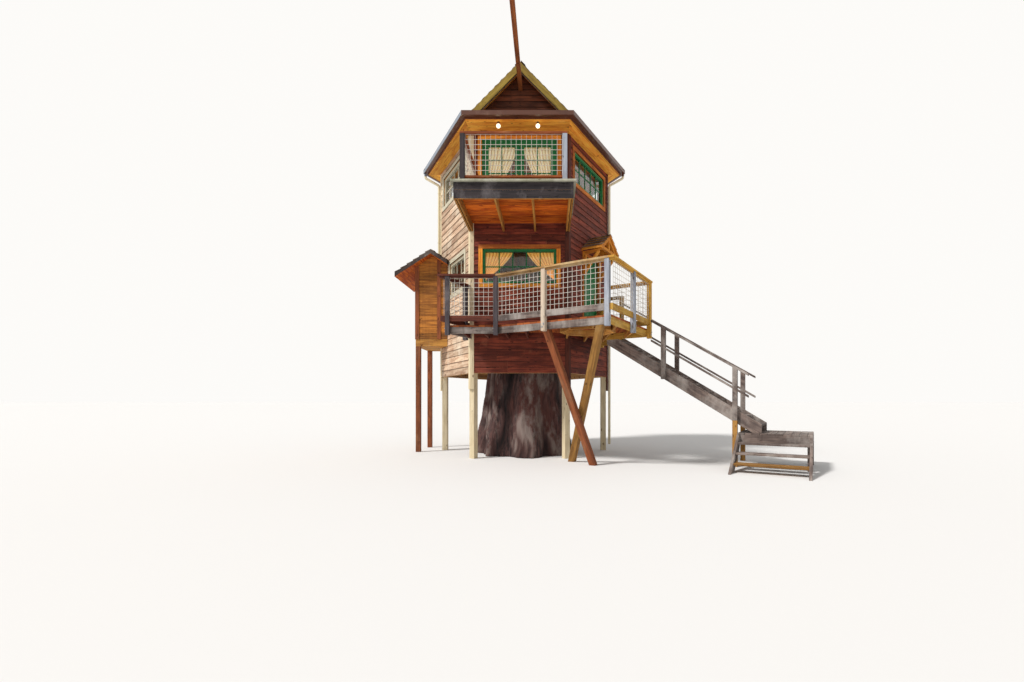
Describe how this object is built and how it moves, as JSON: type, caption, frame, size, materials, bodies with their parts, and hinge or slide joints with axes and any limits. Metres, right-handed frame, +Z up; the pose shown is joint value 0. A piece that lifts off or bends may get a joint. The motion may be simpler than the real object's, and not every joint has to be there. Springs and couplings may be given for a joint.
{
  "type": "tree house",
  "caption": "Tall six-sided timber tree house on a great stump, with a balcony, a mesh-railed deck and a long stair.",
  "frame": {"origin": "centre of the cabin's six-sided plan, on the stump's underside at ground level", "axes": "+Z up, -Y to the front with the balcony, +X to the right with the stair"},
  "size_m": [9.621, 7.3799, 10.4112],
  "materials": {
    "siding": "weathered oiled lap boards",
    "pale_wood": "sun-bleached trim boards",
    "cedar": "oiled cedar, open grain",
    "grey_wood": "weathered grey timber",
    "roofing": "weathered split shakes",
    "gutter_paint": "satin brown paint",
    "green_paint": "satin green paint on wood",
    "lamp_glass": "frosted warm globe",
    "clear_glass": "clear window glass",
    "mesh_steel": "dull galvanised wire",
    "stump_wood": "bare furrowed old stump"
  },
  "bodies": {
    "root": {"stump": "stump_wood", "corner_posts": "pale_wood", "floor_beams": "cedar", "floor_joists": "cedar", "lower_floor": "cedar", "upper_floor": "cedar", "front_wall": "siding", "front_right_wall": "siding", "back_right_wall": "siding", "back_wall": "siding", "back_left_wall": "siding", "front_left_wall": "siding", "corner_boards": "pale_wood", "roof_right_front": "roofing", "roof_right_back": "roofing", "roof_back": "roofing", "roof_left_back": "roofing", "roof_left_front": "roofing", "skirt_roof": "roofing", "gable_wall": "siding", "ridge_pole": "cedar", "barge_boards": "cedar", "soffit": "cedar", "fascia": "siding", "gutters": "gutter_paint", "window_frames": "green_paint", "balcony_doors": "green_paint", "lower_glass": "clear_glass", "upper_glass": "clear_glass", "entry_door": "green_paint", "window_trim": "cedar", "balcony_joists": "cedar", "balcony_rim": "grey_wood", "balcony_deck": "cedar", "balcony_cap": "grey_wood", "balcony_posts": "grey_wood", "balcony_rails": "cedar", "balcony_mesh": "mesh_steel", "deck_boards": "grey_wood", "deck_rim": "grey_wood", "deck_joists": "cedar", "deck_posts": "pale_wood", "deck_rails": "cedar", "deck_mesh_left": "mesh_steel", "deck_mesh_front": "mesh_steel", "deck_mesh_right": "mesh_steel", "stair_stringers": "cedar", "stair_treads": "grey_wood", "stair_railing": "cedar", "door_hood": "cedar", "bay_roof": "roofing", "bay_walls": "cedar", "bay_floor": "cedar", "outer_legs": "cedar", "soffit_lamps": "lamp_glass", "platform_boards": "grey_wood", "platform_frame": "cedar"}
  },
  "joints": []
}
